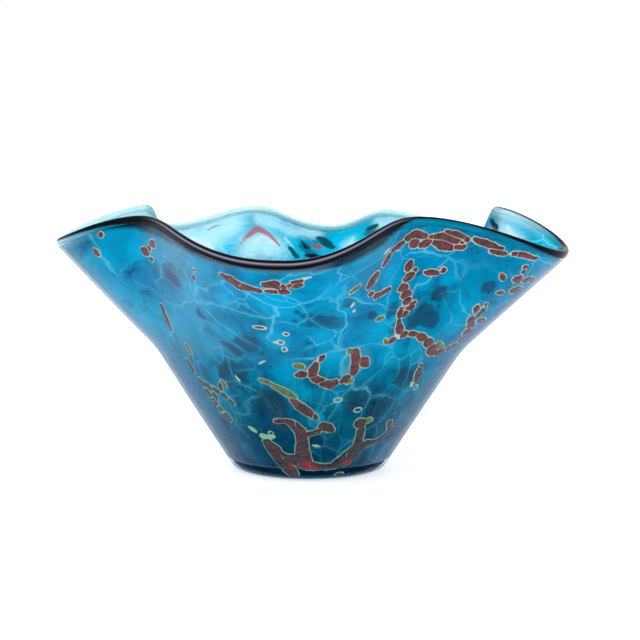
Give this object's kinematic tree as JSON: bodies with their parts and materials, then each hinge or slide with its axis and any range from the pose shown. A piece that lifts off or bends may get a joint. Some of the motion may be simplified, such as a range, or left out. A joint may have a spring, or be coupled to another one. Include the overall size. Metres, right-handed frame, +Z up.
{
  "type": "art glass bowl",
  "caption": "Wide wavy-rimmed bowl in layered glass: turquoise inner wall, clear casing with embedded maroon chips, dark rounded lip and a thick round foot.",
  "frame": {"origin": "centre of the flat resting face under the foot", "axes": "+Z up through the bowl; -Y is the side with the widest low wave of the lip, seen in the front view; +X to its right"},
  "size_m": [0.2439, 0.2456, 0.1276],
  "materials": {
    "foot_glass": "clear teal, fire polished",
    "turquoise_glass": "mottled turquoise, glossy",
    "casing_glass": "clear, fire polished",
    "lip_glass": "dark blue-black, fire polished",
    "maroon_frit": "dense maroon glass frit"
  },
  "bodies": {
    "root": {"foot": "foot_glass", "inner_gather": "turquoise_glass", "clear_casing": "casing_glass", "lip": "lip_glass", "frit_chip_01": "maroon_frit", "frit_chip_02": "maroon_frit", "frit_chip_03": "maroon_frit", "frit_chip_04": "maroon_frit", "frit_chip_05": "maroon_frit", "frit_chip_06": "maroon_frit", "frit_chip_07": "maroon_frit", "frit_chip_08": "maroon_frit", "frit_chip_09": "maroon_frit", "frit_chip_10": "maroon_frit", "frit_chip_11": "maroon_frit", "frit_chip_12": "maroon_frit", "frit_chip_13": "maroon_frit", "frit_chip_14": "maroon_frit", "frit_chip_15": "maroon_frit", "frit_chip_16": "maroon_frit", "frit_chip_17": "maroon_frit", "frit_chip_18": "maroon_frit", "frit_chip_19": "maroon_frit", "frit_chip_20": "maroon_frit", "frit_chip_21": "maroon_frit", "frit_chip_22": "maroon_frit", "frit_chip_23": "maroon_frit", "frit_chip_24": "maroon_frit", "frit_chip_25": "maroon_frit", "frit_chip_26": "maroon_frit", "frit_chip_27": "maroon_frit", "frit_chip_28": "maroon_frit", "frit_chip_29": "maroon_frit", "frit_chip_30": "maroon_frit", "frit_chip_31": "maroon_frit", "frit_chip_32": "maroon_frit", "frit_chip_33": "maroon_frit", "frit_chip_34": "maroon_frit", "frit_chip_35": "maroon_frit", "frit_chip_36": "maroon_frit", "frit_chip_37": "maroon_frit", "frit_chip_38": "maroon_frit", "frit_chip_39": "maroon_frit", "frit_chip_40": "maroon_frit", "frit_chip_41": "maroon_frit", "frit_chip_42": "maroon_frit", "frit_chip_43": "maroon_frit", "frit_chip_44": "maroon_frit", "frit_chip_45": "maroon_frit", "frit_chip_46": "maroon_frit", "frit_chip_47": "maroon_frit", "frit_chip_48": "maroon_frit", "frit_chip_49": "maroon_frit", "frit_chip_50": "maroon_frit", "frit_chip_51": "maroon_frit", "frit_chip_52": "maroon_frit", "frit_chip_53": "maroon_frit"}
  },
  "joints": []
}
